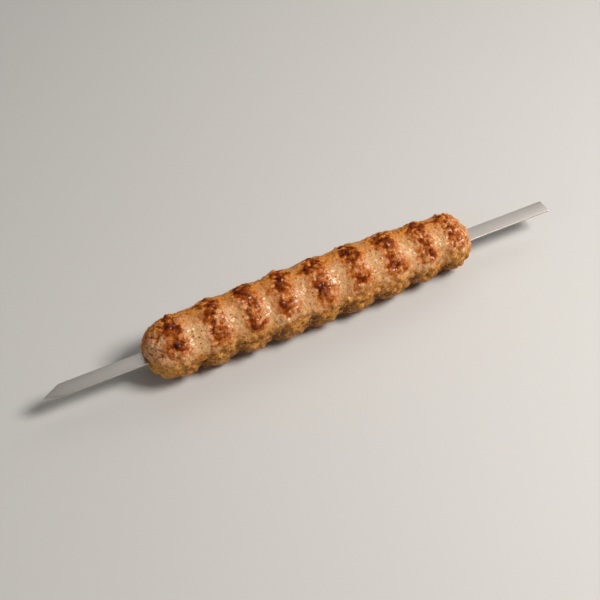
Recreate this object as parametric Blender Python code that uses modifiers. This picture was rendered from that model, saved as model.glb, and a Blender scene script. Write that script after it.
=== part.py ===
"""Kofta kebab on a flat steel skewer, lying as served.

The minced meat is one roll with a round nose, a blunter tail end and nine soft
ridges left by the fingers that pressed it on. The skewer is one flat steel
strip that runs right through it. Units are metres and +Z is up. +X runs along
the skewer from its point to its square tail. The origin is on the resting
surface, under the middle of the object.
"""

import math

import bmesh
import bpy
from mathutils import Matrix, Vector, noise

COLLECTION_NAME = "kofta_skewer"
CUTTER_COLLECTION_NAME = "cutters"

# Skewer: a flat strip, ground to a point at -X and cut square at +X.
SKEWER_LENGTH = 0.300
SKEWER_WIDTH = 0.0084
SKEWER_THICKNESS = 0.0010
SKEWER_POINT_LENGTH = 0.0090
SKEWER_POINT_SIDESTEP = -0.0012
SKEWER_EDGE_BEVEL = 0.00015
SKEWER_Y = -0.0009
SKEWER_Z = 0.0160

# Meat roll: where it starts and ends along X, and where its middle line runs.
# The roll sits a little askew on the steel, so its middle line climbs and
# drifts back from the nose to the tail end.
MEAT_START = -0.0950
MEAT_END = 0.0972
MEAT_AXIS_Z = 0.0169
MEAT_AXIS_DRIFT = 0.0060
MEAT_AXIS_CLIMB = 0.0035
NOSE_LENGTH = 0.0180
NOSE_FULLNESS = 2.1
TAIL_LENGTH = 0.0125
TAIL_FULLNESS = 2.5

# Each ridge: its place along X and the roll's mean radius over its crest.
RIDGES = (
    (-0.0790, 0.0166),
    (-0.0575, 0.0174),
    (-0.0370, 0.0176),
    (-0.0170, 0.0180),
    (0.0030, 0.0182),
    (0.0240, 0.0183),
    (0.0455, 0.0178),
    (0.0660, 0.0168),
    (0.0845, 0.0157),
)
VALLEY_DEPTH = 0.0017
VALLEY_SHARPNESS = 1.2
RIDGE_BACK_SLANT = 0.0040

# Slow unevenness of a hand-made roll, which has settled slightly under its
# own weight.
SETTLING = 0.02
UNEVEN_DEPTH = 0.0004
UNEVEN_SIZE = 0.016
RIDGE_WANDER = 0.0012
UNEVEN_NOISE_SHIFT = Vector((7.0, 3.0, 5.0))

# How finely the roll is divided.
SEGMENTS_AROUND = 48
RINGS_ALONG = 76
RINGS_IN_END = 7

# Room between the meat and the steel, and around the cutting boxes.
SLOT_CLEARANCE = 0.0003
CUTTER_OVERHANG = 0.020
FLOOR_CUTTER_DEPTH = 0.010

STEEL_COLOUR = (0.56, 0.55, 0.53, 1.0)
MEAT_COLOUR = (0.42, 0.21, 0.09, 1.0)


def clear_scene():
    """Remove the objects and the collections of an earlier run."""
    for scene_object in list(bpy.data.objects):
        bpy.data.objects.remove(scene_object, do_unlink=True)
    for name in (COLLECTION_NAME, CUTTER_COLLECTION_NAME):
        collection = bpy.data.collections.get(name)
        if collection:
            bpy.data.collections.remove(collection)


def new_collection(name):
    """Make a collection and link it to the scene."""
    collection = bpy.data.collections.new(name)
    bpy.context.scene.collection.children.link(collection)
    return collection


def new_material(name, colour, roughness, metallic):
    """Make a plain Principled material."""
    material = bpy.data.materials.new(name)
    material.use_nodes = True
    shader = material.node_tree.nodes["Principled BSDF"]
    shader.inputs["Base Color"].default_value = colour
    shader.inputs["Roughness"].default_value = roughness
    shader.inputs["Metallic"].default_value = metallic
    material.diffuse_color = colour
    return material


def smooth_blend(start, end, amount):
    """Go from start to end along half a cosine wave, for amount 0 to 1."""
    return start + (end - start) * 0.5 * (1.0 - math.cos(math.pi * amount))


def ridged_radius(x):
    """Radius of the endless ridged roll at x, before its ends are rounded."""
    if x <= RIDGES[0][0]:
        return RIDGES[0][1]
    if x >= RIDGES[-1][0]:
        return RIDGES[-1][1]
    for (left_x, left_radius), (right_x, right_radius) in zip(RIDGES, RIDGES[1:]):
        if x <= right_x:
            amount = (x - left_x) / (right_x - left_x)
            crest = smooth_blend(left_radius, right_radius, amount)
            dip = math.sin(math.pi * amount) ** (2.0 * VALLEY_SHARPNESS)
            return crest - VALLEY_DEPTH * dip


def end_scale(x):
    """How much the rounded ends pull the roll in at x, 1 on the body."""
    nose_inner = MEAT_START + NOSE_LENGTH
    tail_inner = MEAT_END - TAIL_LENGTH
    if x < nose_inner:
        reach = min((nose_inner - x) / NOSE_LENGTH, 1.0)
        return (1.0 - reach ** NOSE_FULLNESS) ** (1.0 / NOSE_FULLNESS)
    if x > tail_inner:
        reach = min((x - tail_inner) / TAIL_LENGTH, 1.0)
        return (1.0 - reach ** TAIL_FULLNESS) ** (1.0 / TAIL_FULLNESS)
    return 1.0


def ring_position(ring):
    """X of one ring: close together in the ends, even along the body."""
    if ring <= RINGS_IN_END:
        turn = 0.5 * math.pi * ring / RINGS_IN_END
        return MEAT_START + NOSE_LENGTH * (1.0 - math.cos(turn))
    if ring >= RINGS_ALONG - RINGS_IN_END:
        turn = 0.5 * math.pi * (RINGS_ALONG - ring) / RINGS_IN_END
        return MEAT_END - TAIL_LENGTH * (1.0 - math.cos(turn))
    body_rings = RINGS_ALONG - 2 * RINGS_IN_END
    amount = (ring - RINGS_IN_END) / body_rings
    body_start = MEAT_START + NOSE_LENGTH
    body_end = MEAT_END - TAIL_LENGTH
    return body_start + (body_end - body_start) * amount


def meat_point(x, around):
    """Point of the meat's surface at x, at an angle around the roll."""
    direction = Vector((0.0, math.cos(around), math.sin(around)))
    noise_place = (Vector((x, 0.0, 0.0)) + direction * RIDGES[0][1]) / UNEVEN_SIZE
    slant = RIDGE_BACK_SLANT * max(0.0, direction.y)
    wander = RIDGE_WANDER * noise.noise(noise_place)
    uneven = UNEVEN_DEPTH * noise.noise(noise_place + UNEVEN_NOISE_SHIFT)
    radius = (ridged_radius(x - slant + wander) + uneven) * end_scale(x)
    settled = Vector((0.0, 1.0 + SETTLING, 1.0 - SETTLING)) * radius
    middle = Vector((x, MEAT_AXIS_DRIFT * x, MEAT_AXIS_Z + MEAT_AXIS_CLIMB * x))
    return middle + direction * settled


def make_meat(collection, material):
    """Shape the roll from a sphere whose poles are its two ends."""
    mesh = bpy.data.meshes.new("kofta")
    shape = bmesh.new()
    bmesh.ops.create_uvsphere(
        shape, u_segments=SEGMENTS_AROUND, v_segments=RINGS_ALONG, radius=1.0
    )
    for vertex in shape.verts:
        polar = math.acos(max(-1.0, min(1.0, -vertex.co.z)))
        ring = round(polar / math.pi * RINGS_ALONG)
        around = math.atan2(vertex.co.y, vertex.co.x)
        vertex.co = meat_point(ring_position(ring), around)
    bmesh.ops.recalc_face_normals(shape, faces=shape.faces[:])
    shape.to_mesh(mesh)
    shape.free()
    mesh.shade_smooth()
    mesh.materials.append(material)
    meat = bpy.data.objects.new("kofta", mesh)
    collection.objects.link(meat)
    return meat


def make_cutting_box(name, size, centre, collection):
    """Make a hidden box that is only used to cut another piece."""
    mesh = bpy.data.meshes.new(name)
    shape = bmesh.new()
    bmesh.ops.create_cube(shape, size=1.0, matrix=Matrix.Diagonal((*size, 1.0)))
    shape.to_mesh(mesh)
    shape.free()
    cutter = bpy.data.objects.new(name, mesh)
    cutter.location = centre
    cutter.hide_render = True
    cutter.display_type = "WIRE"
    collection.objects.link(cutter)
    return cutter


def cut(piece, cutter):
    """Take the cutter's shape out of the piece."""
    modifier = piece.modifiers.new(cutter.name, "BOOLEAN")
    modifier.operation = "DIFFERENCE"
    modifier.solver = "EXACT"
    modifier.object = cutter


def cut_meat(meat, collection):
    """Cut the skewer's slot and the flat spots that the roll lies on."""
    slot_size = (
        MEAT_END - MEAT_START + CUTTER_OVERHANG,
        SKEWER_WIDTH + 2.0 * SLOT_CLEARANCE,
        SKEWER_THICKNESS + 2.0 * SLOT_CLEARANCE,
    )
    slot_centre = (0.5 * (MEAT_START + MEAT_END), SKEWER_Y, SKEWER_Z)
    cut(meat, make_cutting_box("skewer_slot", slot_size, slot_centre, collection))
    widest = max(radius for _, radius in RIDGES)
    floor_size = (
        MEAT_END - MEAT_START + CUTTER_OVERHANG,
        2.0 * widest + CUTTER_OVERHANG,
        FLOOR_CUTTER_DEPTH,
    )
    floor_centre = (0.5 * (MEAT_START + MEAT_END), 0.0, -0.5 * FLOOR_CUTTER_DEPTH)
    cut(meat, make_cutting_box("floor_block", floor_size, floor_centre, collection))


def make_skewer(collection, material):
    """Make the strip from a flat outline, extruded and lightly bevelled."""
    half_length = 0.5 * SKEWER_LENGTH
    half_width = 0.5 * SKEWER_WIDTH
    shoulder = -half_length + SKEWER_POINT_LENGTH
    outline = (
        (-half_length, SKEWER_POINT_SIDESTEP),
        (shoulder, -half_width),
        (half_length, -half_width),
        (half_length, half_width),
        (shoulder, half_width),
    )
    curve = bpy.data.curves.new("skewer_outline", "CURVE")
    curve.dimensions = "2D"
    curve.fill_mode = "BOTH"
    curve.extrude = 0.5 * SKEWER_THICKNESS
    spline = curve.splines.new("POLY")
    spline.points.add(len(outline) - 1)
    for point, (x, y) in zip(spline.points, outline):
        point.co = (x, y, 0.0, 1.0)
    spline.use_cyclic_u = True
    guide = bpy.data.objects.new("skewer_outline", curve)
    guide.location = (0.0, SKEWER_Y, SKEWER_Z)
    collection.objects.link(guide)
    bpy.context.view_layer.update()

    depsgraph = bpy.context.evaluated_depsgraph_get()
    mesh = bpy.data.meshes.new_from_object(guide.evaluated_get(depsgraph))
    mesh.name = "skewer"
    shape = bmesh.new()
    shape.from_mesh(mesh)
    bmesh.ops.remove_doubles(shape, verts=shape.verts[:], dist=0.00001)
    bmesh.ops.recalc_face_normals(shape, faces=shape.faces[:])
    shape.to_mesh(mesh)
    shape.free()
    mesh.materials.clear()
    mesh.materials.append(material)
    skewer = bpy.data.objects.new("skewer", mesh)
    skewer.matrix_world = guide.matrix_world
    collection.objects.link(skewer)
    bpy.data.objects.remove(guide, do_unlink=True)
    bpy.data.curves.remove(curve)

    bevel = skewer.modifiers.new("edges", "BEVEL")
    bevel.width = SKEWER_EDGE_BEVEL
    bevel.segments = 1
    bevel.limit_method = "ANGLE"
    return skewer


def main():
    clear_scene()
    parts = new_collection(COLLECTION_NAME)
    cutters = new_collection(CUTTER_COLLECTION_NAME)
    steel = new_material("steel", STEEL_COLOUR, 0.35, 1.0)
    grilled_meat = new_material("grilled_meat", MEAT_COLOUR, 0.55, 0.0)
    make_skewer(parts, steel)
    cut_meat(make_meat(parts, grilled_meat), cutters)


main()
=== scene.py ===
"""Kofta skewer: a grilled roll of minced meat on a flat steel skewer.

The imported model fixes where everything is. This script gives the meat its
grain, finger-pressed valleys and grill marks, finishes the steel, and sets the
roll on a pale studio floor. Units are metres, +Z is up, and +X runs along the
skewer from its point to its square tail.
"""

import math

import bmesh
import bpy
import numpy as np
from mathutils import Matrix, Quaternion, Vector, noise


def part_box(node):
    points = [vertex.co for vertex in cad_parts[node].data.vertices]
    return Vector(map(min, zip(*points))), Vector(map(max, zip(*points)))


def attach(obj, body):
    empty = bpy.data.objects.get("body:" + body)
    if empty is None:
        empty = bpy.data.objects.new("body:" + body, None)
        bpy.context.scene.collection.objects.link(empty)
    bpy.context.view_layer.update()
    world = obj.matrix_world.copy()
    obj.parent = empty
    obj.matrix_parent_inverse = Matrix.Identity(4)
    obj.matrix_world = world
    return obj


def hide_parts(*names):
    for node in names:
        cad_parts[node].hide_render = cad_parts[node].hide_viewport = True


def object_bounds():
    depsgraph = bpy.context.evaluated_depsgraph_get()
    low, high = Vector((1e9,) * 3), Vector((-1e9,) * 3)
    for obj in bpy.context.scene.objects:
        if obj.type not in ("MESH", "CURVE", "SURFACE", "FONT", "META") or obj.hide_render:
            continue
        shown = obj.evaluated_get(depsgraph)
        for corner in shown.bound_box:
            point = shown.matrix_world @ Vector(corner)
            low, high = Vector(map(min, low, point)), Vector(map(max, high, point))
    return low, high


bl_info = {
    "name": "Kofta Skewer",
    "version": (1, 0, 0),
    "blender": (4, 5, 0),
    "location": "3D View > Sidebar > Kofta",
    "description": "Builds a grilled kofta on its flat steel skewer",
    "category": "Add Mesh",
}

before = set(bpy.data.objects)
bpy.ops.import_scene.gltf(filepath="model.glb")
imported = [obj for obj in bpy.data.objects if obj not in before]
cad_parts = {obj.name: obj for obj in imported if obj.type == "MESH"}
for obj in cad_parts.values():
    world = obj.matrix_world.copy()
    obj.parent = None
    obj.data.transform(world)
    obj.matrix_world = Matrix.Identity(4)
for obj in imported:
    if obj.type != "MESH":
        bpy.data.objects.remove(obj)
CAD_LOW, CAD_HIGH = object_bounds()
SKEWER_LOW, SKEWER_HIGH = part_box("skewer")

MM = 0.001
CENTRE = (CAD_LOW + CAD_HIGH) / 2.0

# The roll's own shape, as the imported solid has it: each ridge's distance from
# the nose and the roll's mean radius over its crest.
NOSE_TIP = -0.0950
TAIL_TIP = 0.0972
RIDGES = (
    (0.0160, 0.0166),
    (0.0375, 0.0174),
    (0.0580, 0.0176),
    (0.0780, 0.0180),
    (0.0980, 0.0182),
    (0.1190, 0.0183),
    (0.1405, 0.0178),
    (0.1610, 0.0168),
    (0.1795, 0.0157),
)
CRESTS = np.array([NOSE_TIP + distance for distance, _ in RIDGES])
CREST_RADII = np.array([radius for _, radius in RIDGES])
VALLEY_DEPTH = 0.0017
VALLEY_SHARPNESS = 1.2
RIDGE_BACK_SLANT = 0.0040
SETTLING = 0.02
UNEVEN_DEPTH = 0.0004
UNEVEN_SIZE = 0.016
RIDGE_WANDER = 0.0012
UNEVEN_SHIFT = Vector((7.0, 3.0, 5.0))
AXIS_Z = 0.0169
AXIS_DRIFT = 0.0060
AXIS_CLIMB = 0.0035
NOSE_LENGTH = 0.0180
NOSE_FULLNESS = 2.1
TAIL_LENGTH = 0.0125
TAIL_FULLNESS = 2.5

# Where the real roll strays from the plain solid.
BACK_FLATTENING = 0.0010
NOTCH_DEPTH = 0.0004
TAIL_SLOPE = 0.0035
TAIL_SLOPE_LENGTH = 0.016
KNOB_SIZE = 3.4 * MM
CRUMPLE_SIZE = 1.5 * MM
NOSE_PRESSED_IN = 2.4 * MM
TAIL_PRESSED_IN = 1.2 * MM

# The roll's underside: degrees round where it starts, is full, fades and ends.
UNDERSIDE = (-165.0, -140.0, -62.0, -40.0)

# The strip's ground point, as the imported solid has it.
POINT_LENGTH = 0.0091
POINT_SIDESTEP = 0.0012

# How the meat takes the light.
COAT_ROUGHNESS = 0.19
SUBSURFACE_WEIGHT = 0.16
SUBSURFACE_RADIUS = (1.0, 0.4, 0.2)
SUBSURFACE_SCALE = 0.001
MEAT_RELIEF = 0.00055
BRUSHING_RELIEF = 0.00003

# How strong the room is where the camera sees it.
BACKDROP_STRENGTH = 0.75

# Grill marks of each ridge, nose first: millimetres along from the crest,
# degrees round from the front, half length, half width, darkness.
GRILL_MARKS = (
    ((0.5, 88, 3.0, 1.8, 1.0), (-4.0, 83, 3.0, 1.1, 0.7), (0.5, 73, 1.3, 2.8, 0.9),
     (-0.8, 52, 2.8, 1.5, 1.0), (-5.0, 46, 2.4, 1.6, 0.5), (-4.5, 34, 2.6, 2.0, 0.4),
     (1.0, 38, 2.0, 1.2, 0.4), (-5.0, 112, 2.6, 1.6, 0.5), (1.5, 106, 2.4, 1.6, 0.5)),
    ((1.0, 100, 2.8, 2.2, 1.0), (3.4, 93, 1.4, 1.6, 0.9), (-3.4, 83, 3.4, 1.3, 0.8),
     (-0.8, 70, 1.2, 1.5, 0.6), (0.4, 55, 1.4, 2.6, 0.7), (-0.6, 33, 2.0, 1.5, 0.9),
     (4.2, 38, 1.6, 1.3, 0.9), (-2.4, 27, 1.6, 1.2, 0.5), (-1.0, 118, 2.6, 2.0, 0.6)),
    ((-2.0, 85, 2.6, 1.4, 0.6), (2.0, 79, 2.6, 1.8, 0.7), (-1.0, 54, 1.9, 1.5, 0.9),
     (-2.4, 33, 2.2, 1.5, 1.0), (3.6, 33, 1.8, 1.3, 0.9), (0.0, 100, 2.8, 1.8, 0.5),
     (-3.0, 44, 1.4, 1.2, 0.5), (0.5, 120, 2.4, 2.0, 0.6)),
    ((-1.2, 82, 4.4, 2.9, 1.0), (-3.2, 60, 1.5, 2.6, 0.9), (-3.0, 47, 2.0, 1.2, 0.9),
     (-2.4, 35, 1.8, 1.4, 0.6), (5.4, 35, 1.2, 1.2, 0.5), (2.8, 97, 1.6, 1.8, 0.7),
     (-1.5, 112, 3.0, 1.8, 0.6)),
    ((-2.0, 96, 3.0, 1.5, 1.0), (3.4, 92, 2.4, 1.4, 0.9), (-1.4, 80, 1.8, 2.6, 0.7),
     (0.0, 45, 3.2, 2.8, 1.0), (1.2, 57, 2.6, 1.2, 0.6), (1.2, 30, 2.6, 1.2, 0.5),
     (-4.0, 32, 1.6, 1.0, 0.5), (4.0, 112, 2.2, 2.4, 0.6)),
    ((-1.6, 95, 3.8, 1.7, 1.0), (4.6, 92, 2.2, 1.2, 0.9), (4.2, 84, 2.0, 1.8, 0.8),
     (-1.0, 74, 1.6, 1.8, 0.6), (-3.0, 65, 1.4, 1.8, 0.6), (0.0, 49, 2.2, 2.1, 1.0),
     (4.6, 44, 1.8, 1.3, 0.8), (-3.4, 33, 1.4, 2.0, 0.8), (7.0, 29, 1.4, 1.0, 0.5),
     (-0.5, 122, 2.4, 2.6, 0.8)),
    ((-0.4, 95, 2.6, 1.8, 1.0), (-4.0, 96, 1.8, 1.4, 0.7), (4.8, 101, 1.4, 2.8, 0.9),
     (0.8, 86, 2.4, 1.8, 0.9), (0.4, 44, 2.7, 2.0, 1.0), (3.6, 39, 1.8, 1.5, 0.6),
     (-1.5, 60, 1.2, 2.2, 0.6), (-1.8, 33, 1.6, 1.3, 0.5), (6.4, 28, 1.6, 1.0, 0.6),
     (-1.5, 112, 2.2, 2.4, 0.8)),
    ((-1.6, 100, 2.0, 3.2, 1.0), (4.2, 103, 1.2, 2.4, 0.8), (1.0, 88, 4.4, 2.6, 0.8),
     (-3.8, 42, 1.8, 1.6, 0.7), (0.0, 43, 1.8, 1.6, 0.9), (-0.8, 52, 1.6, 1.4, 0.7),
     (2.4, 38, 2.2, 1.4, 0.8), (-1.4, 63, 1.2, 1.2, 0.6), (2.6, 66, 1.8, 1.2, 0.4),
     (0.5, 28, 4.2, 0.8, 0.6), (1.0, 118, 2.6, 2.2, 0.7)),
    ((-0.6, 56, 2.7, 2.2, 0.30), (-2.8, 55, 1.0, 2.4, 0.3), (-2.4, 36, 2.6, 1.0, 0.5),
     (2.4, 31, 2.8, 0.9, 0.4), (-0.6, 91, 2.6, 1.6, 0.35), (6.4, 74, 1.6, 2.0, 0.5),
     (-2.0, 104, 2.6, 1.8, 0.5)),
)


def step(low, high, value):
    """Smooth step from 0 at low to 1 at high."""
    share = np.clip((value - low) / (high - low), 0.0, 1.0)
    return share * share * (3.0 - 2.0 * share)


def hump(value, start, full, fade, end):
    """Rises from 0 at start to 1 at full, then falls from fade back to 0 at end."""
    return step(start, full, value) * (1.0 - step(fade, end, value))


def blend(start, end, share):
    """Straight mix of two values or arrays."""
    return start + (end - start) * share


# ---------------------------------------------------------------- settings


def colour_setting(name, description, default):
    """A colour that the panel shows."""
    return bpy.props.FloatVectorProperty(name=name, description=description, subtype="COLOR",
                                         size=3, default=default, min=0.0, max=1.0)


def length_setting(name, description, default, **limits):
    """A length that the panel shows, in metres."""
    return bpy.props.FloatProperty(name=name, description=description, default=default,
                                   unit="LENGTH", precision=5, **limits)


def strength_setting(name, description, default):
    """A light's power or strength that the panel shows."""
    return bpy.props.FloatProperty(name=name, description=description, default=default, min=0.0)


class KoftaMeatSettings(bpy.types.PropertyGroup):
    """Sizes and colours of the meat roll."""

    cell: length_setting(
        "Mesh cell", "Width of one face of the meat's surface", 0.00049, min=0.0003)
    lump_height: length_setting("Lump height", "How far broad lumps stand out", 0.00055)
    lump_size: length_setting("Lump size", "Width of the broad lumps", 0.0060)
    knob_height: length_setting(
        "Knob height", "How far the knobs low on the sides stand out", 0.00055)
    nub_height: length_setting("Nub height", "How far the rounded nubs of mince stand out", 0.00210)
    nub_size: length_setting("Nub size", "Width of one nub of mince", 0.0029)
    grain_height: length_setting("Grain height", "How far the grains of mince stand out", 0.00110)
    grain_size: length_setting("Grain size", "Width of one grain of mince", 0.0017)
    crust_height: length_setting("Crust height", "How far the dark crust stands out", 0.00045)
    swell_height: length_setting(
        "Charred nub height", "How far the charred nubs stand out", 0.00060)
    tan: colour_setting("Cooked meat", "Colour of the plain cooked surface", (0.480, 0.235, 0.088))
    cream: colour_setting("Pale grain", "Colour of pale grains and fat", (0.650, 0.385, 0.190))
    butter: colour_setting(
        "Buttery grain", "Colour of pale grains low on the sides", (0.600, 0.276, 0.056))
    yellow: colour_setting("Oily grain", "Colour of grains wet with fat", (0.305, 0.110, 0.011))
    toast: colour_setting("Toasted crust", "Colour of light browning", (0.510, 0.190, 0.060))
    golden: colour_setting(
        "Golden crust", "Colour of light browning over the back", (0.600, 0.218, 0.025))
    amber: colour_setting("Amber crust", "Colour of deeper, orange browning", (0.405, 0.110, 0.016))
    # Partly painted highlight, partly real pink: this colour goes on the slope after each crest
    # that faces the key light, and on the nose.
    pink_and_highlight: colour_setting(
        "Ruddy meat", "Colour of the meat beside the browned crests", (0.620, 0.315, 0.165))
    # Painted shade: the colour laid deep between the nubs, in crevices and in the notches low on
    # the sides.
    shade: colour_setting("Deep hollow", "Colour deep between the nubs", (0.110, 0.035, 0.004))
    rust: colour_setting("Brown crust", "Colour of strong browning", (0.200, 0.035, 0.003))
    char: colour_setting("Dark crust", "Colour of the darkest marks", (0.058, 0.009, 0.003))
    # Partly painted sheen: paler grey-mauve laid on the raised tops of the darkest marks.
    dry_crust_and_sheen: colour_setting(
        "Dry crust", "Colour of the dry tops of the darkest marks", (0.190, 0.085, 0.070))


class KoftaSteelSettings(bpy.types.PropertyGroup):
    """Sizes and colour of the skewer."""

    edge_round: length_setting("Edge rounding", "Radius of the strip's rolled edges", 0.00015)
    grind: length_setting("Ground bevel", "Width of the facet ground along the point", 0.00045)
    steel: colour_setting("Steel", "Colour of the brushed steel", (0.560, 0.525, 0.488))
    juice: colour_setting(
        "Burnt-on juice", "Colour of the stain beside the meat", (0.150, 0.060, 0.022))
    roughness: bpy.props.FloatProperty(
        name="Roughness", description="Satin finish of the steel",
        default=0.36, min=0.0, max=1.0)


class KoftaStageSettings(bpy.types.PropertyGroup):
    """Floor, lights and camera."""

    floor_colour: colour_setting("Floor", "Colour of the studio floor", (0.50, 0.49, 0.475))
    far_glow: colour_setting(
        "Far floor", "Glow of the floor far from the object", (0.62, 0.61, 0.595))
    floor_size: bpy.props.FloatProperty(
        name="Floor size", description="Side of the floor", default=12.0, unit="LENGTH")
    key_power: strength_setting("Key light", "Power of the large soft light in watts", 12.4)
    top_power: strength_setting("Top light", "Power of the wide light overhead in watts", 1.45)
    side_power: strength_setting(
        "Side light", "Power of the light from the tail side in watts", 1.6)
    point_power: strength_setting(
        "Point light", "Power of the light from the point side in watts", 1.6)
    fill_strength: strength_setting("Fill", "Strength of the light from all round", 0.08)
    mirrored_strength: strength_setting(
        "Mirrored room", "Strength of the room as the steel mirrors it", 0.18)
    camera_distance: length_setting(
        "Camera distance", "From the camera to what it looks at", 0.7182)
    camera_azimuth: bpy.props.FloatProperty(
        name="Camera azimuth", description="Angle round the object from its front",
        default=math.radians(-26.6), subtype="ANGLE")
    camera_elevation: bpy.props.FloatProperty(
        name="Camera elevation", description="Angle above the floor",
        default=math.radians(47.5), subtype="ANGLE")
    camera_roll: bpy.props.FloatProperty(
        name="Camera roll", description="Turn about the view direction",
        default=math.radians(-0.6), subtype="ANGLE")
    lens: bpy.props.FloatProperty(
        name="Lens", description="Focal length in millimetres", default=81.0)
    aim: bpy.props.FloatVectorProperty(
        name="Aim", description="What the camera looks at, from the object's centre",
        subtype="TRANSLATION", size=3, default=(-0.0057, -0.0016, -0.0014))


# ---------------------------------------------------------------- node help


class Nodes:
    """Adds nodes to one tree, each with its settings and links."""

    def __init__(self, tree):
        self.tree = tree
        self.count = 0

    def add(self, kind, inputs=None, **settings):
        """Add a node; inputs maps a socket to a value or another node's output."""
        node = self.tree.nodes.new(kind)
        node.location = (220 * (self.count % 8), -260 * (self.count // 8))
        self.count += 1
        for name, value in settings.items():
            setattr(node, name, value)
        for socket, value in (inputs or {}).items():
            self.feed(node.inputs[socket], value)
        return node

    def feed(self, socket, value):
        """Link an output to the socket, or set its own value."""
        if isinstance(value, bpy.types.NodeSocket):
            self.tree.links.new(value, socket)
        elif socket.type == "RGBA" and len(value) == 3:
            socket.default_value = (*value, 1.0)
        else:
            socket.default_value = value

    def math(self, operation, first, second=0.0, third=0.0, clamp=False):
        """A Math node's result."""
        node = self.add("ShaderNodeMath", operation=operation, use_clamp=clamp)
        for socket, value in zip(node.inputs, (first, second, third)):
            self.feed(socket, value)
        return node.outputs[0]

    def mask(self, value, low, high, start=0.0, end=1.0):
        """Smooth step of a value between low and high, from start to end."""
        node = self.add("ShaderNodeMapRange", interpolation_type="SMOOTHSTEP")
        for socket, given in zip(node.inputs, (value, low, high, start, end)):
            self.feed(socket, given)
        return node.outputs[0]

    def mix(self, share, first, second, mode="MIX"):
        """A colour mix of first and second."""
        node = self.add("ShaderNodeMix", data_type="RGBA", blend_type=mode)
        node.clamp_factor = True
        self.feed(node.inputs[0], share)
        self.feed(node.inputs[6], first)
        self.feed(node.inputs[7], second)
        return node.outputs[2]

    def attribute(self, name):
        """A value stored on the mesh."""
        node = self.add("ShaderNodeAttribute", attribute_name=name)
        return node.outputs["Fac"]

    def noise(self, where, scale, detail=2.0, roughness=0.5, stretch=None):
        """Noise value at a place, scale being patterns in a metre."""
        if stretch:
            where = self.add("ShaderNodeVectorMath", {0: where, 1: stretch},
                             operation="MULTIPLY").outputs[0]
        node = self.add("ShaderNodeTexNoise", {
            "Vector": where, "Scale": scale, "Detail": detail, "Roughness": roughness})
        return node.outputs["Fac"]

    def pits(self, where, scale, unequal, low, high, depth):
        """Mask of small pits of unequal size, scale being cells in a metre."""
        cells = self.add("ShaderNodeTexVoronoi", {"Vector": where, "Scale": scale})
        split = self.add("ShaderNodeSeparateColor", {"Color": cells.outputs["Color"]})
        size = self.math("MULTIPLY", split.outputs["Red"], unequal)
        chosen = self.math("SUBTRACT", cells.outputs["Distance"], size)
        return self.mask(chosen, low, high, depth, 0.0)


def new_material(name, roughness, metallic=0.0):
    """A material with an empty Principled shader; returns it, its Nodes and shader."""
    material = bpy.data.materials.new(name)
    material.use_nodes = True
    shader = material.node_tree.nodes["Principled BSDF"]
    shader.inputs["Roughness"].default_value = roughness
    shader.inputs["Metallic"].default_value = metallic
    return material, Nodes(material.node_tree), shader


def mottle_group():
    """Shared effect: soft mottling and fine grain over any surface."""
    name = "Mottle and grain"
    if name in bpy.data.node_groups:
        return bpy.data.node_groups[name]
    group = bpy.data.node_groups.new(name, "ShaderNodeTree")
    interface = group.interface
    for label, kind, default in (
        ("Vector", "NodeSocketVector", None),
        ("Patch scale", "NodeSocketFloat", 100.0),
        ("Grain scale", "NodeSocketFloat", 1500.0),
        ("Contrast", "NodeSocketFloat", 0.5),
    ):
        socket = interface.new_socket(label, in_out="INPUT", socket_type=kind)
        if default is not None:
            socket.default_value = default
    for label in ("Patch", "Grain"):
        interface.new_socket(label, in_out="OUTPUT", socket_type="NodeSocketFloat")
    nodes = Nodes(group)
    given = nodes.add("NodeGroupInput")
    result = nodes.add("NodeGroupOutput")
    patch = nodes.noise(given.outputs["Vector"], given.outputs["Patch scale"], 3.0, 0.6)
    grain = nodes.noise(given.outputs["Vector"], given.outputs["Grain scale"], 2.0, 0.6)
    half_width = nodes.math("MULTIPLY_ADD", given.outputs["Contrast"], -0.3, 0.34)
    low = nodes.math("SUBTRACT", 0.5, half_width)
    high = nodes.math("ADD", 0.5, half_width)
    nodes.feed(result.inputs["Patch"], nodes.mask(patch, low, high))
    nodes.feed(result.inputs["Grain"], nodes.mask(grain, low, high))
    return group


def mottle_node(nodes, where, patch_scale, grain_scale, contrast):
    """Place the shared mottling in a material; returns its two outputs."""
    node = nodes.add("ShaderNodeGroup", node_tree=mottle_group())
    nodes.feed(node.inputs["Vector"], where)
    nodes.feed(node.inputs["Patch scale"], patch_scale)
    nodes.feed(node.inputs["Grain scale"], grain_scale)
    nodes.feed(node.inputs["Contrast"], contrast)
    return node.outputs["Patch"], node.outputs["Grain"]


# ---------------------------------------------------------------- meat shape


def ridge_place(x):
    """Plain crest radius and valley share at each x, 0 on a crest and 1 between."""
    inside = np.clip(x, CRESTS[0], CRESTS[-1])
    left = np.clip(np.searchsorted(CRESTS, inside, side="right") - 1, 0, len(CRESTS) - 2)
    amount = (inside - CRESTS[left]) / (CRESTS[left + 1] - CRESTS[left])
    ease = 0.5 * (1.0 - np.cos(np.pi * amount))
    radius = blend(CREST_RADII[left], CREST_RADII[left + 1], ease)
    return radius, np.sin(np.pi * amount) ** (2.0 * VALLEY_SHARPNESS)


def end_scale(x):
    """How much the rounded ends pull the roll in at x, 1 on the body."""
    nose = np.clip((NOSE_TIP + NOSE_LENGTH - x) / NOSE_LENGTH, 0.0, 1.0)
    tail = np.clip((x - TAIL_TIP + TAIL_LENGTH) / TAIL_LENGTH, 0.0, 1.0)
    return ((1.0 - nose ** NOSE_FULLNESS) ** (1.0 / NOSE_FULLNESS)
            * (1.0 - tail ** TAIL_FULLNESS) ** (1.0 / TAIL_FULLNESS))


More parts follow.
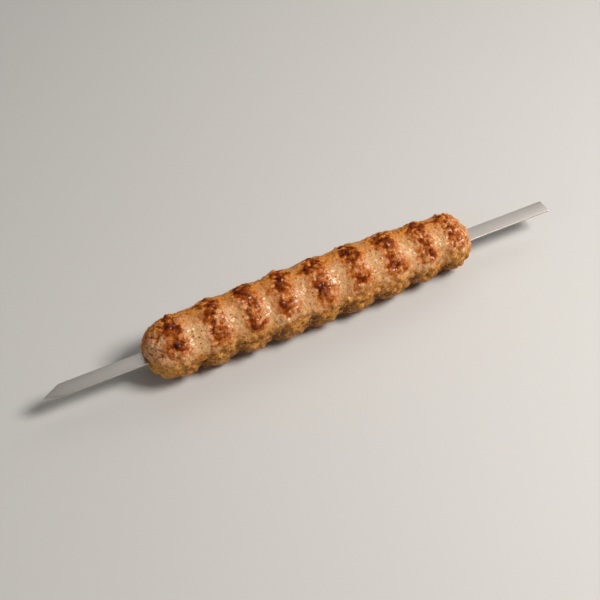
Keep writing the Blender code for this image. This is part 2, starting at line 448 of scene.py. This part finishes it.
def ring_positions(cell):
    """X of every ring of faces, close together in the rounded ends."""
    quarter = 0.5 * math.pi
    in_nose = round(quarter * CREST_RADII[0] / cell)
    in_tail = round(quarter * CREST_RADII[-1] / cell)
    body_start, body_end = NOSE_TIP + NOSE_LENGTH, TAIL_TIP - TAIL_LENGTH
    turn = quarter * np.arange(in_nose) / in_nose
    nose = NOSE_TIP + NOSE_LENGTH * (1.0 - np.cos(turn))
    body = np.linspace(body_start, body_end, round((body_end - body_start) / cell) + 1)
    turn = quarter * np.arange(in_tail - 1, -1, -1) / in_tail
    tail = TAIL_TIP - TAIL_LENGTH * (1.0 - np.cos(turn))
    return np.concatenate((nose, body, tail))


def soften(values, times):
    """Even out values over the grid, a little more with every pass."""
    for _ in range(times):
        ends = np.concatenate((values[:1], values, values[-1:]))
        values = 0.25 * ends[:-2] + 0.5 * values + 0.25 * ends[2:]
        values = 0.25 * (np.roll(values, 1, 1) + np.roll(values, -1, 1)) + 0.5 * values
    return values


class Roll:
    """The meat's surface as a grid: rings along X, columns round it."""

    def __init__(self, cell):
        x = ring_positions(cell)
        columns = round(2.0 * math.pi * CREST_RADII.mean() / cell)
        around = 2.0 * math.pi * np.arange(columns) / columns
        self.x, self.around = np.meshgrid(x, around, indexing="ij")
        self.shape = self.x.shape
        out = np.stack((np.zeros(self.shape), -np.cos(self.around), np.sin(self.around)), -1)
        spot = out * CREST_RADII[0]
        spot[..., 0] = self.x
        wander = self.field(noise.noise, spot, UNEVEN_SIZE)
        uneven = self.field(noise.noise, spot, UNEVEN_SIZE, UNEVEN_SHIFT)
        slant = RIDGE_BACK_SLANT * np.maximum(0.0, out[..., 1])
        self.ridge_x = self.x - slant + RIDGE_WANDER * wander
        crest, self.valley = ridge_place(self.ridge_x)
        self.degrees = np.degrees(np.angle(np.exp(1j * self.around)))
        self.back = hump(self.degrees, 92.0, 122.0, 168.0, 180.0)
        # The notches low on the front are cut into the shape here; in the meat's colour they are
        # also painted shade.
        self.notch = self.valley ** 2 * hump(self.degrees, -75.0, -45.0, -12.0, 14.0)
        self.radius = crest - VALLEY_DEPTH * self.valley + UNEVEN_DEPTH * uneven
        self.radius -= BACK_FLATTENING * self.back * (1.0 - self.valley)
        self.radius -= NOTCH_DEPTH * self.notch
        self.radius *= end_scale(self.x)
        tail = np.clip((self.x - TAIL_TIP + TAIL_SLOPE_LENGTH) / TAIL_SLOPE_LENGTH, 0.0, 1.0) ** 1.5
        shift = TAIL_SLOPE * hump(self.degrees, 35.0, 110.0, 160.0, 180.0)
        shift += 0.6 * TAIL_SLOPE * hump(self.degrees, -100.0, -60.0, -30.0, -2.0)
        x = self.x - shift * tail * self.radius / CREST_RADII[-1]
        middle = np.stack((x, AXIS_DRIFT * self.x, AXIS_Z + AXIS_CLIMB * self.x), -1)
        settled = np.array((0.0, 1.0 + SETTLING, 1.0 - SETTLING))
        self.points = middle + out * settled * self.radius[..., None]
        self.rest = self.points.copy()

    def field(self, function, points, size, shift=Vector()):
        """A noise function over the surface, its patterns about size wide."""
        flat = points.reshape(-1, 3) / size
        return np.array([function(Vector(p) + shift) for p in flat]).reshape(self.shape)

    def normals(self):
        """Outward direction at every point of the grid."""
        along = np.gradient(self.points, axis=0)
        padded = np.concatenate((self.points[:, -1:], self.points, self.points[:, :1]), 1)
        across = 0.5 * (padded[:, 2:] - padded[:, :-2])
        cross = np.cross(along, across)
        cross[0], cross[-1] = cross[1].mean(0), cross[-2].mean(0)
        length = np.linalg.norm(cross, axis=-1, keepdims=True)
        return cross / np.maximum(length, 1e-12)

    def push(self, height):
        """Move the surface out by a height at every point."""
        height = height.copy()
        for end in (0, -1):
            height[end] = height[end].mean()
        self.points = self.points + self.normals() * height[..., None]


def granules(roll, size, shift, warp):
    """Rounded lumps of unequal size: their height, the creases between, a tint each."""
    flat = ((roll.rest + warp) / size).reshape(-1, 3)
    height, lead, tint = np.empty((3, len(flat)))
    for index, place in enumerate(flat):
        caps = sorted(
            ((0.28 + 0.35 * noise.cell(centre * 13.7) - distance * distance, centre)
             for distance, centre in zip(*noise.voronoi(Vector(place) + shift))),
            key=lambda cap: -cap[0])
        height[index], winner = caps[0]
        lead[index] = caps[0][0] - caps[1][0]
        tint[index] = 0.5 + 0.5 * noise.cell(winner * 7.3)
    crease = 1.0 - step(0.0, 0.24, lead)
    return [values.reshape(roll.shape) for values in (height, crease, tint)]


def mark_field(roll):
    """The grill marks' darkness over the surface, their halo, and the nubs they cap.

    Each mark comes twice: where it is given, and turned half round for the underside.
    """
    ragged = 1.1 * MM
    along = roll.ridge_x + ragged * roll.field(noise.noise, roll.rest, 2.6 * MM, Vector((3, 1, 8)))
    along += 0.5 * ragged * roll.field(noise.noise, roll.rest, 1.1 * MM, Vector((5, 9, 2)))
    sway = ragged * roll.field(noise.noise, roll.rest, 2.4 * MM, Vector((9, 4, 4)))
    left = np.ones(roll.shape)
    wide = np.ones(roll.shape)
    swell = np.zeros(roll.shape)
    for crest, marks in zip(CRESTS, GRILL_MARKS):
        for offset, degrees, half_length, half_width, darkness in marks:
            darkness *= blend(1.0, 0.6, step(100.0, 112.0, degrees))
            for turned in (0.0, -180.0):
                angle = math.radians(degrees + turned)
                slant = RIDGE_BACK_SLANT * max(0.0, -math.cos(angle))
                u = (along - (crest + offset * MM - slant)) / (half_length * MM)
                turn = np.angle(np.exp(1j * (roll.around - angle)))
                v = (turn * CREST_RADII.mean() + sway) / (half_width * MM)
                far = np.sqrt(u * u + v * v)
                left *= 1.0 - darkness * (1.0 - step(0.0, 1.15, far))
                wide *= 1.0 - 0.6 * darkness * np.exp(-(far / 2.5) ** 2)
                if degrees < 62:
                    swell = np.maximum(swell, darkness * np.maximum(0.0, 1.0 - far * far))
    return 1.0 - left, 1.0 - wide, swell


def crust_field(roll):
    """How far the fire has browned the ridges, and the slope beside each one that faces the key
    light, painted a paler reddish pink as a highlight.

    The browning ends sharply on the nose side and fades towards the tail.
    """
    nearest = np.abs(roll.ridge_x[..., None] - CRESTS).argmin(-1)
    past_crest = (roll.ridge_x - CRESTS[nearest]) / MM
    past_crest += 1.6 * roll.field(noise.noise, roll.rest, 4.0 * MM, Vector((3, 8, 5)))
    past_crest += 0.8 * roll.field(noise.noise, roll.rest, 1.3 * MM, Vector((5, 1, 2)))
    ridge = hump(past_crest, -5.2, -3.2, 1.0, 7.0)
    top = hump(roll.degrees, 20.0, 42.0, 150.0, 178.0)
    back = hump(roll.degrees, 84.0, 112.0, 150.0, 178.0)
    below = hump(roll.degrees, *UNDERSIDE)
    patchy = 0.5 + 0.8 * roll.field(noise.noise, roll.rest, 3.4 * MM, Vector((1, 5, 9)))
    patchy += 0.5 * roll.field(noise.noise, roll.rest, 1.2 * MM, Vector((7, 2, 4)))
    patchy = np.clip(patchy, 0.0, 1.2)
    crust = ridge * np.maximum(top, below) * (0.04 + 0.24 * patchy * patchy)
    crust += back * (0.17 + 0.07 * ridge) * (0.25 + 1.2 * patchy)
    # Painted highlight: the slope after each crest, which faces the key light.
    flank = hump(past_crest, -2.0, 1.5, 5.0, 8.5) * np.maximum(top, below)
    return crust, flank


def shape_meat(settings):
    """Shape the meat's surface and work out where it is browned."""
    roll = Roll(settings.cell)
    sway = 14.0 * roll.field(noise.noise, roll.rest, 5.0 * MM, Vector((4, 7, 7)))
    upper = hump(roll.degrees + sway, 8.0, 30.0, 150.0, 176.0)
    under = hump(roll.degrees + sway, *UNDERSIDE)
    pressed = roll.valley ** 0.8 * np.maximum(upper, 0.8 * under)
    side = 1.0 - hump(roll.degrees + sway, -4.0, 46.0, 140.0, 178.0)
    side *= 1.0 - 0.7 * under
    dark, halo, swell = mark_field(roll)
    crust, flank = crust_field(roll)

    warp = np.stack([0.9 * MM * roll.field(noise.noise, roll.rest, 2.6 * MM, Vector(shift))
                     for shift in ((1, 2, 3), (4, 5, 6), (7, 8, 9))], -1)
    nubs, crease, tint = granules(roll, settings.nub_size, Vector((2, 7, 1)), warp)
    grains, fine_crease, fine_tint = granules(
        roll, settings.grain_size, Vector((8, 3, 6)), warp)
    lumps = roll.field(noise.noise, roll.rest, settings.lump_size, Vector((6, 6, 1)))
    knobs = roll.field(noise.noise, roll.rest, KNOB_SIZE, Vector((5, 5, 2)))
    crumple = roll.field(noise.noise, roll.rest, CRUMPLE_SIZE, Vector((2, 2, 7)))

    height = settings.lump_height * lumps * blend(0.6, 1.4, side) * blend(1.0, 0.5, pressed)
    nose = 1.0 - step(NOSE_TIP + 0.3 * NOSE_LENGTH, NOSE_TIP + NOSE_LENGTH, roll.x)
    height += settings.knob_height * side * blend(1.0, 0.4, nose) * knobs
    height += (settings.nub_height * blend(0.95, 1.0, side) * blend(1.0, 0.12, pressed)
               * blend(1.0, 0.6, nose) * soften(nubs - nubs.mean(), 2))
    height += (settings.grain_height * blend(1.0, 0.5, pressed) * blend(1.0, 0.28, side)
               * soften(grains - grains.mean(), 1))
    height += settings.crust_height * (dark + 0.4 * crust) * (0.4 + 0.9 * crumple)
    height += settings.swell_height * swell
    roll.push(height)

    # How far each point lies below the smoothed surface; the meat's colour darkens these recesses
    # as painted shade.
    hollow = (soften(height, 14) - height) / (0.30 * MM)
    crease = np.maximum(soften(crease, 1), 0.5 * fine_crease) * (1.0 - pressed)
    brown = crust + 0.39 * halo + 0.28 * dark
    masks = {"brown": brown, "dark": dark, "flank": flank, "pressed": pressed,
             "notch": roll.notch, "hollow": hollow, "side": side,
             "nub_tint": soften(tint, 1), "grain_tint": fine_tint,
             "crease": crease, "nose": nose,
             "rear": hump(roll.degrees, 76.0, 104.0, 150.0, 178.0)}
    return roll, masks


def press_ends(roll):
    """Draw the meat in round the skewer where it enters and leaves."""
    middle_y = 0.5 * (SKEWER_LOW.y + SKEWER_HIGH.y)
    middle_z = 0.5 * (SKEWER_LOW.z + SKEWER_HIGH.z)
    half_width = 0.5 * (SKEWER_HIGH.y - SKEWER_LOW.y)
    y, z = roll.points[..., 1], roll.points[..., 2]
    from_strip = np.hypot(np.maximum(0.0, np.abs(y - middle_y) - half_width), z - middle_z)
    hollow = 1.0 - step(0.6 * MM, 2.8 * MM, from_strip)
    x = roll.points[..., 0]
    roll.points[..., 0] += NOSE_PRESSED_IN * hollow * (x < NOSE_TIP + 0.5 * NOSE_LENGTH)
    roll.points[..., 0] -= TAIL_PRESSED_IN * hollow * (x > TAIL_TIP - 0.5 * TAIL_LENGTH)


def rest_on_floor(roll):
    """Flatten what would reach below the floor."""
    softness = 0.25 * MM
    roll.points[..., 2] = softness * np.logaddexp(0.0, roll.points[..., 2] / softness)


def grid_mesh(name, roll, masks):
    """Join the grid into one closed mesh, with a fan of triangles at each end."""
    rings, columns = roll.shape
    body = roll.points[1:-1].reshape(-1, 3)
    ends = np.stack((roll.points[0].mean(0), roll.points[-1].mean(0)))
    vertices = np.concatenate((body, ends))
    nose_index, tail_index = len(body), len(body) + 1
    index = np.arange(len(body)).reshape(rings - 2, columns)
    following = np.roll(index, -1, axis=1)
    quads = np.stack((index[:-1], following[:-1], following[1:], index[1:]), -1).reshape(-1, 4)
    faces = [tuple(int(v) for v in quad) for quad in quads]
    faces += [(nose_index, int(b), int(a)) for a, b in zip(index[0], following[0])]
    faces += [(tail_index, int(a), int(b)) for a, b in zip(index[-1], following[-1])]
    mesh = bpy.data.meshes.new(name)
    mesh.from_pydata(vertices.tolist(), [], faces)
    for label, values in masks.items():
        layer = mesh.attributes.new(label, "FLOAT", "POINT")
        flat = np.concatenate((values[1:-1].ravel(), (values[0].mean(), values[-1].mean())))
        layer.data.foreach_set("value", flat.astype(np.float32))
    shape = bmesh.new()
    shape.from_mesh(mesh)
    bmesh.ops.recalc_face_normals(shape, faces=shape.faces[:])
    shape.to_mesh(mesh)
    shape.free()
    mesh.shade_smooth()
    return mesh


# ---------------------------------------------------------------- meat finish


def grilled_mince(settings):
    """Cooked mince: pale and oily grains, golden browning and dark crust, with painted shade in
    crevices, creases and notches, and painted highlights on the lit slopes and on the tops of the
    darkest marks.
    """
    material, nodes, shader = new_material("grilled_mince", 0.35)
    where = nodes.add("ShaderNodeTexCoord").outputs["Object"]
    patch, grain = mottle_node(nodes, where, 260.0, 1500.0, 0.35)
    speck = nodes.noise(where, 480.0, 2.0, 0.5)
    spread = nodes.math("SUBTRACT", speck, 0.5)
    broad = nodes.noise(where, 55.0, 2.0, 0.5)

    nub_tint = nodes.attribute("nub_tint")
    tint = nodes.mix(0.5, nub_tint, nodes.attribute("grain_tint"))
    hollow = nodes.attribute("hollow")
    pressed = nodes.attribute("pressed")
    side = nodes.attribute("side")
    brown = nodes.attribute("brown")

    light = nodes.noise(where, 900.0, 2.0, 0.6)
    # Partly painted light: the nose, turned from the key light, is painted paler than the body.
    paler = nodes.math("MULTIPLY_ADD", nodes.attribute("nose"), 0.6, tint)
    paler = nodes.math("MULTIPLY_ADD", patch, 0.25, paler)
    pale = nodes.mask(nodes.math("MULTIPLY_ADD", light, 1.6, paler), 0.9, 1.95)
    colour = nodes.mix(nodes.math("MULTIPLY", pale, 0.9), settings.tan, settings.cream)
    oily = nodes.mask(nodes.math("MULTIPLY_ADD", side, 0.5, broad), 0.53, 0.98)
    flank = nodes.attribute("flank")
    # Painted highlight: the slope after each crest that faces the key light is mixed toward a paler
    # reddish pink.
    pink_and_highlight_share = nodes.math("MULTIPLY", flank, nodes.mask(light, 0.35, 0.6, 0.4, 0.9))
    # The nose takes the same pink, partly its own colour and partly painted light.
    pink_and_highlight_share = nodes.math("MULTIPLY_ADD", nodes.attribute("nose"), 0.4, pink_and_highlight_share, clamp=True)
    colour = nodes.mix(pink_and_highlight_share, colour, settings.pink_and_highlight)
    colour = nodes.mix(oily, colour, nodes.mix(pale, settings.yellow, settings.butter))

    # Over the back the colour goes toward toast and brown crust: partly browning, partly painted
    # shade where the back turns from the key light.
    rear = nodes.attribute("rear")
    colour = nodes.mix(nodes.math("MULTIPLY", rear, 0.5), colour, settings.toast)
    colour = nodes.mix(nodes.math("MULTIPLY", rear, 0.28), colour, settings.rust)
    # Painted shade: recesses in the relief are darkened, toward the deep hollow colour low on the
    # sides and as deeper browning on the crests.
    crevice_shade_and_veins = nodes.mask(hollow, 0.1, 1.6)
    crevice_shade_and_veins = nodes.math("MULTIPLY", crevice_shade_and_veins, nodes.math("SUBTRACT", 1.0, pressed))
    # Painted shade in the notches low on the front side.
    notch = nodes.math("MULTIPLY", nodes.attribute("notch"), 0.9)
    deep = nodes.math("MULTIPLY_ADD", crevice_shade_and_veins, 0.6, notch)
    # Painted shade in the creases between nubs; on the sides the sum is mixed toward the deep
    # hollow colour.
    deep = nodes.math("MULTIPLY_ADD", nodes.attribute("crease"), 0.34, deep)
    colour = nodes.mix(nodes.math("MULTIPLY", deep, side), colour, settings.shade)
    vein = nodes.math("ABSOLUTE", nodes.math("SUBTRACT", nodes.noise(where, 380.0, 2.0), 0.5))
    vein = nodes.math("MULTIPLY", nodes.mask(vein, 0.0, 0.035, 0.30, 0.0), flank)
    crevice_shade_and_veins = nodes.math("MULTIPLY_ADD", crevice_shade_and_veins, nodes.math("MULTIPLY_ADD", side, -0.28, 0.32),
                       vein)
    # Painted shade in the creases between nubs, drawn as deeper browning where the crest is
    # browned.
    crease = nodes.math("MULTIPLY", nodes.attribute("crease"),
                        nodes.mask(light, 0.40, 0.60, 0.08, 0.36))
    crevice_shade_and_veins = nodes.math("MULTIPLY_ADD", crease, nodes.mask(brown, 0.05, 0.40, 0.5, 1.1), crevice_shade_and_veins)
    spotty = nodes.math("MULTIPLY_ADD", brown, 1.1, 0.35)
    browning = nodes.math("MULTIPLY_ADD", spread, spotty, nodes.math("ADD", brown, crevice_shade_and_veins))
    uneven = nodes.math("MULTIPLY", nodes.math("SUBTRACT", nub_tint, 0.5),
                        nodes.mask(brown, 0.05, 0.45, 0.0, 0.70))
    browning = nodes.math("ADD", browning, uneven)
    ramp = nodes.add("ShaderNodeValToRGB", {"Fac": browning})
    stops = ((0.10, settings.toast), (0.31, settings.amber), (0.58, settings.rust),
             (0.98, settings.char))
    elements = ramp.color_ramp.elements
    elements.remove(elements[1])
    for place, shade in stops:
        element = elements[0] if place == stops[0][0] else elements.new(place)
        element.position = place
        element.color = (*shade, 1.0)
    golden = nodes.mask(browning, 0.20, 0.40, 1.0, 0.0)
    golden = nodes.math("MULTIPLY", golden, rear)
    crust = nodes.mix(golden, ramp.outputs["Color"], settings.golden)
    colour = nodes.mix(nodes.mask(browning, 0.02, 0.26), colour, crust)
    fine = nodes.noise(where, 1100.0, 2.0, 0.6)
    smooth = nodes.math("MULTIPLY_ADD", pressed, -0.75, 1.0)
    smooth = nodes.math("MULTIPLY_ADD", side, -0.5, smooth, clamp=True)
    dots = nodes.math("MULTIPLY", nodes.mask(fine, 0.36, 0.54, 0.30, 0.0), smooth)
    colour = nodes.mix(dots, colour, settings.rust)
    flecks = nodes.math("MULTIPLY", nodes.mask(fine, 0.54, 0.66, 0.0, 0.5),
                        nodes.mask(browning, 0.10, 0.45, 1.0, 0.0))
    colour = nodes.mix(flecks, colour, settings.cream)
    # Partly dry crust, partly painted sheen: the raised tops of the darkest marks go toward a paler
    # grey-mauve.
    raised = nodes.mask(nodes.math("MULTIPLY_ADD", spread, 2.0, hollow), -1.3, -0.2, 1.0, 0.0)
    dark = nodes.attribute("dark")
    dry = nodes.math("MULTIPLY", nodes.mask(dark, 0.5, 0.95), raised)
    colour = nodes.mix(nodes.math("MULTIPLY", dry, 0.42), colour, settings.dry_crust_and_sheen)

    pore = nodes.pits(where, 400.0, 0.22, -0.02, 0.06, 0.75)
    colour = nodes.mix(pore, colour, settings.rust)
    nodes.feed(shader.inputs["Base Color"], colour)

    nodes.feed(shader.inputs["Roughness"], nodes.math("MULTIPLY_ADD", grain, 0.20, 0.24))
    glint = nodes.noise(where, 500.0, 2.0, 0.5)
    wet = nodes.math("MULTIPLY_ADD", flank, 0.4, nodes.math("MULTIPLY_ADD", dark, -0.75, 1.0))
    for dull, share in ((side, -0.3), (rear, -0.5)):
        wet = nodes.math("MULTIPLY_ADD", dull, share, wet, clamp=True)
    nodes.feed(shader.inputs["Coat Weight"],
               nodes.math("MULTIPLY", nodes.mask(glint, 0.40, 0.60, 0.02, 0.52), wet))
    shader.inputs["Coat Roughness"].default_value = COAT_ROUGHNESS
    shader.inputs["Specular IOR Level"].default_value = 0.0
    shader.inputs["Subsurface Weight"].default_value = SUBSURFACE_WEIGHT
    shader.inputs["Subsurface Radius"].default_value = SUBSURFACE_RADIUS
    shader.inputs["Subsurface Scale"].default_value = SUBSURFACE_SCALE

    relief = nodes.math("MULTIPLY_ADD", speck, 1.6, nodes.math("MULTIPLY", light, 0.8))
    relief = nodes.math("MULTIPLY_ADD", pore, -0.8, relief)
    relief = nodes.math("MULTIPLY", relief, nodes.math("MULTIPLY_ADD", side, -0.35, 1.0))
    bump = nodes.add("ShaderNodeBump", {"Height": relief, "Strength": 1.0,
                                        "Distance": MEAT_RELIEF})
    nodes.feed(shader.inputs["Normal"], bump.outputs["Normal"])
    return material


# ---------------------------------------------------------------- skewer


def strip_outline():
    """Corners of the strip seen from above, point first."""
    half_width = 0.5 * (SKEWER_HIGH.y - SKEWER_LOW.y)
    middle = 0.5 * (SKEWER_LOW.y + SKEWER_HIGH.y)
    shoulder = SKEWER_LOW.x + POINT_LENGTH
    return (
        (SKEWER_LOW.x, middle - POINT_SIDESTEP),
        (shoulder, middle - half_width),
        (SKEWER_HIGH.x, middle - half_width),
        (SKEWER_HIGH.x, middle + half_width),
        (shoulder, middle + half_width),
    )


def ordered_mesh(name, shape):
    """A mesh whose points and faces are listed by their places, the same each run."""
    places = sorted(tuple(vertex.co) for vertex in shape.verts)
    number = {place: index for index, place in enumerate(places)}
    faces = []
    for face in shape.faces:
        ring = [number[tuple(vertex.co)] for vertex in face.verts]
        first = ring.index(min(ring))
        faces.append(ring[first:] + ring[:first])
    mesh = bpy.data.meshes.new(name)
    mesh.from_pydata(places, [], sorted(faces))
    return mesh


def strip_mesh(settings):
    """The steel strip with rounded edges and a ground point."""
    shape = bmesh.new()
    low, high = SKEWER_LOW.z, SKEWER_HIGH.z
    outline = strip_outline()
    bottom = [shape.verts.new((x, y, low)) for x, y in outline]
    base = shape.faces.new(bottom)
    extruded = bmesh.ops.extrude_face_region(shape, geom=[base])
    raised = [v for v in extruded["geom"] if isinstance(v, bmesh.types.BMVert)]
    bmesh.ops.translate(shape, verts=raised, vec=(0.0, 0.0, high - low))
    bmesh.ops.recalc_face_normals(shape, faces=shape.faces[:])
    shoulder = outline[1][0] + MM
    point = [edge for edge in shape.edges
             if all(v.co.z > high - 0.1 * MM and v.co.x < shoulder for v in edge.verts)]
    bmesh.ops.bevel(shape, geom=point, offset=settings.grind, segments=1,
                    affect="EDGES", clamp_overlap=True)
    corners = [edge for edge in shape.edges if edge.calc_face_angle(0.0) > math.radians(25.0)]
    bmesh.ops.bevel(shape, geom=corners, offset=settings.edge_round, segments=3,
                    profile=0.6, affect="EDGES", clamp_overlap=True)
    mesh = ordered_mesh("skewer_steel", shape)
    shape.free()
    mesh.set_sharp_from_angle(angle=math.radians(40.0))
    return mesh


def brushed_steel(settings):
    """Satin steel, brushed along its length, with small nicks and burnt-on juice."""
    material, nodes, shader = new_material("satin_steel", settings.roughness, 1.0)
    where = nodes.add("ShaderNodeTexCoord").outputs["Object"]
    patch = mottle_node(nodes, where, 90.0, 2200.0, 0.3)[0]
    brushing = nodes.noise(where, 1.0, 3.0, 0.6, stretch=(60.0, 4200.0, 4200.0))
    shade = nodes.math("MULTIPLY_ADD", brushing, 0.25, nodes.math("MULTIPLY", patch, 0.12))
    darker = tuple(0.72 * value for value in settings.steel)
    colour = nodes.mix(nodes.math("ADD", shade, 0.55), darker, tuple(settings.steel))
    nick = nodes.pits(where, 260.0, 0.16, -0.04, 0.0, 1.0)
    colour = nodes.mix(nodes.math("MULTIPLY", nick, 0.6), colour, (0.10, 0.085, 0.07))
    along = nodes.add("ShaderNodeSeparateXYZ", {"Vector": where}).outputs["X"]
    reach = nodes.math("ABSOLUTE", nodes.math("SUBTRACT", along, 0.5 * (NOSE_TIP + TAIL_TIP)))
    spread = nodes.noise(where, 420.0, 3.0, 0.6)
    meat_end = 0.5 * (TAIL_TIP - NOSE_TIP)
    juice = nodes.mask(nodes.math("MULTIPLY_ADD", spread, 0.008, reach),
                       meat_end + 2.0 * MM, meat_end + 5.0 * MM, 0.6, 0.0)
    colour = nodes.mix(juice, colour, settings.juice)
    nodes.feed(shader.inputs["Base Color"], colour)
    rough = nodes.math("MULTIPLY_ADD", patch, 0.10, settings.roughness - 0.08)
    nodes.feed(shader.inputs["Roughness"], nodes.math("MULTIPLY_ADD", brushing, 0.12, rough))
    bump = nodes.add("ShaderNodeBump", {"Height": brushing, "Strength": 0.25,
                                        "Distance": BRUSHING_RELIEF})
    nodes.feed(shader.inputs["Normal"], bump.outputs["Normal"])
    return material


# ---------------------------------------------------------------- stage


def studio_floor(settings):
    """Pale floor with a faint mottle, glowing far off so that it never goes dark."""
    material, nodes, shader = new_material("studio_floor", 0.75)
    where = nodes.add("ShaderNodeTexCoord").outputs["Object"]
    patch, grain = mottle_node(nodes, where, 3.0, 260.0, 0.2)
    lighter = tuple(min(1.0, 1.04 * value) for value in settings.floor_colour)
    share = nodes.math("MULTIPLY_ADD", grain, 0.3, nodes.math("MULTIPLY", patch, 0.5))
    nodes.feed(shader.inputs["Base Color"],
               nodes.mix(share, tuple(settings.floor_colour), lighter))
    nodes.feed(shader.inputs["Roughness"], nodes.mask(grain, 0.0, 1.0, 0.72, 0.8))
    away = nodes.add("ShaderNodeVectorMath", {0: where}, operation="LENGTH").outputs["Value"]
    glow = nodes.mix(nodes.mask(away, 0.34, 1.5), (0.0, 0.0, 0.0), settings.far_glow)
    nodes.feed(shader.inputs["Emission Color"], glow)
    shader.inputs["Emission Strength"].default_value = 1.0
    return material


def add_area_light(name, direction, distance, size, power, colour=(1.0, 1.0, 1.0)):
    """A square soft light that faces the object."""
    data = bpy.data.lights.new(name, "AREA")
    data.size = size
    data.energy = power
    data.color = colour
    lamp = bpy.data.objects.new(name, data)
    lamp.location = CENTRE + Vector(direction).normalized() * distance
    lamp.rotation_mode = "QUATERNION"
    lamp.rotation_quaternion = (CENTRE - lamp.location).to_track_quat("-Z", "Y")
    bpy.context.scene.collection.objects.link(lamp)


def studio_world(settings):
    """Dim light from all round, brighter in the steel and seen as a pale backdrop."""
    world = bpy.data.worlds.new("studio")
    world.use_nodes = True
    nodes = Nodes(world.node_tree)
    background = world.node_tree.nodes["Background"]
    ray = nodes.add("ShaderNodeLightPath")
    background.inputs["Color"].default_value = (1.0, 0.985, 0.965, 1.0)
    strength = nodes.math("MULTIPLY_ADD", ray.outputs["Is Glossy Ray"],
                          settings.mirrored_strength - settings.fill_strength,
                          settings.fill_strength)
    nodes.feed(background.inputs["Strength"],
               nodes.math("MULTIPLY_ADD", ray.outputs["Is Camera Ray"],
                          BACKDROP_STRENGTH - settings.fill_strength, strength))
    bpy.context.scene.world = world


def add_camera(settings):
    """The camera, looking down on the skewer from the front left."""
    azimuth, elevation = settings.camera_azimuth, settings.camera_elevation
    back = Vector((math.sin(azimuth) * math.cos(elevation),
                   -math.cos(azimuth) * math.cos(elevation), math.sin(elevation)))
    data = bpy.data.cameras.new("camera")
    data.lens = settings.lens
    data.sensor_width = 36.0
    camera = bpy.data.objects.new("camera", data)
    camera.location = CENTRE + Vector(settings.aim) + back * settings.camera_distance
    camera.rotation_mode = "QUATERNION"
    turn = Quaternion((0.0, 0.0, 1.0), settings.camera_roll)
    camera.rotation_quaternion = (-back).to_track_quat("-Z", "Y") @ turn
    bpy.context.scene.collection.objects.link(camera)
    bpy.context.scene.camera = camera


# ---------------------------------------------------------------- operators


def add_piece(mesh, material, node):
    """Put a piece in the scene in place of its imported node."""
    mesh.materials.append(material)
    piece = bpy.data.objects.new(mesh.name, mesh)
    bpy.context.scene.collection.objects.link(piece)
    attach(piece, "root")
    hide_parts(node)


class KOFTA_OT_meat(bpy.types.Operator):
    """Build the grilled meat roll"""

    bl_idname = "kofta.meat"
    bl_label = "Meat roll"

    def execute(self, context):
        settings = context.scene.kofta_meat
        roll, masks = shape_meat(settings)
        press_ends(roll)
        rest_on_floor(roll)
        mesh = grid_mesh("kofta_meat", roll, masks)
        add_piece(mesh, grilled_mince(settings), "kofta")
        return {"FINISHED"}


class KOFTA_OT_skewer(bpy.types.Operator):
    """Build the flat steel skewer"""

    bl_idname = "kofta.skewer"
    bl_label = "Skewer"

    def execute(self, context):
        settings = context.scene.kofta_steel
        add_piece(strip_mesh(settings), brushed_steel(settings), "skewer")
        return {"FINISHED"}


class KOFTA_OT_stage(bpy.types.Operator):
    """Set up the floor, lights and camera"""

    bl_idname = "kofta.stage"
    bl_label = "Studio"

    def execute(self, context):
        settings = context.scene.kofta_stage
        mesh = bpy.data.meshes.new("floor")
        shape = bmesh.new()
        bmesh.ops.create_grid(shape, x_segments=8, y_segments=8, size=0.5 * settings.floor_size)
        shape.to_mesh(mesh)
        shape.free()
        mesh.materials.append(studio_floor(settings))
        floor = bpy.data.objects.new("floor", mesh)
        floor.location.z = CAD_LOW.z
        context.scene.collection.objects.link(floor)
        add_area_light("key", (0.50, -0.37, 0.78), 1.0, 0.36, settings.key_power,
                       (1.0, 0.965, 0.92))
        add_area_light("top", (0.30, 0.60, 0.73), 1.2, 0.75, settings.top_power,
                       (1.0, 0.98, 0.96))
        add_area_light("side", (0.90, 0.35, 0.55), 1.1, 0.45, settings.side_power,
                       (1.0, 0.965, 0.92))
        add_area_light("point", (-0.80, -0.28, 0.53), 1.0, 0.6, settings.point_power,
                       (1.0, 0.97, 0.94))
        studio_world(settings)
        add_camera(settings)
        context.scene.view_settings.view_transform = "Standard"
        return {"FINISHED"}


class KOFTA_PT_panel(bpy.types.Panel):
    """Sidebar panel that lists the pieces"""

    bl_label = "Kofta Skewer"
    bl_idname = "KOFTA_PT_panel"
    bl_space_type = "VIEW_3D"
    bl_region_type = "UI"
    bl_category = "Kofta"

    def draw(self, context):
        for settings, operator in (
            (context.scene.kofta_meat, KOFTA_OT_meat),
            (context.scene.kofta_steel, KOFTA_OT_skewer),
            (context.scene.kofta_stage, KOFTA_OT_stage),
        ):
            box = self.layout.box()
            for name in settings.bl_rna.properties.keys():
                if name not in ("rna_type", "name"):
                    box.prop(settings, name)
            box.operator(operator.bl_idname)


SETTINGS = (
    ("kofta_meat", KoftaMeatSettings),
    ("kofta_steel", KoftaSteelSettings),
    ("kofta_stage", KoftaStageSettings),
)
OPERATORS = (KOFTA_OT_meat, KOFTA_OT_skewer, KOFTA_OT_stage)


def register():
    """Register the settings, operators and panel."""
    for name, group in SETTINGS:
        bpy.utils.register_class(group)
        setattr(bpy.types.Scene, name, bpy.props.PointerProperty(type=group))
    for kind in (*OPERATORS, KOFTA_PT_panel):
        bpy.utils.register_class(kind)


def unregister():
    """Take everything off again."""
    for kind in reversed((*OPERATORS, KOFTA_PT_panel)):
        bpy.utils.unregister_class(kind)
    for name, group in reversed(SETTINGS):
        delattr(bpy.types.Scene, name)
        bpy.utils.unregister_class(group)


def main():
    """Build every piece."""
    register()
    bpy.ops.kofta.meat()
    bpy.ops.kofta.skewer()
    bpy.ops.kofta.stage()


if __name__ == "__main__":
    main()
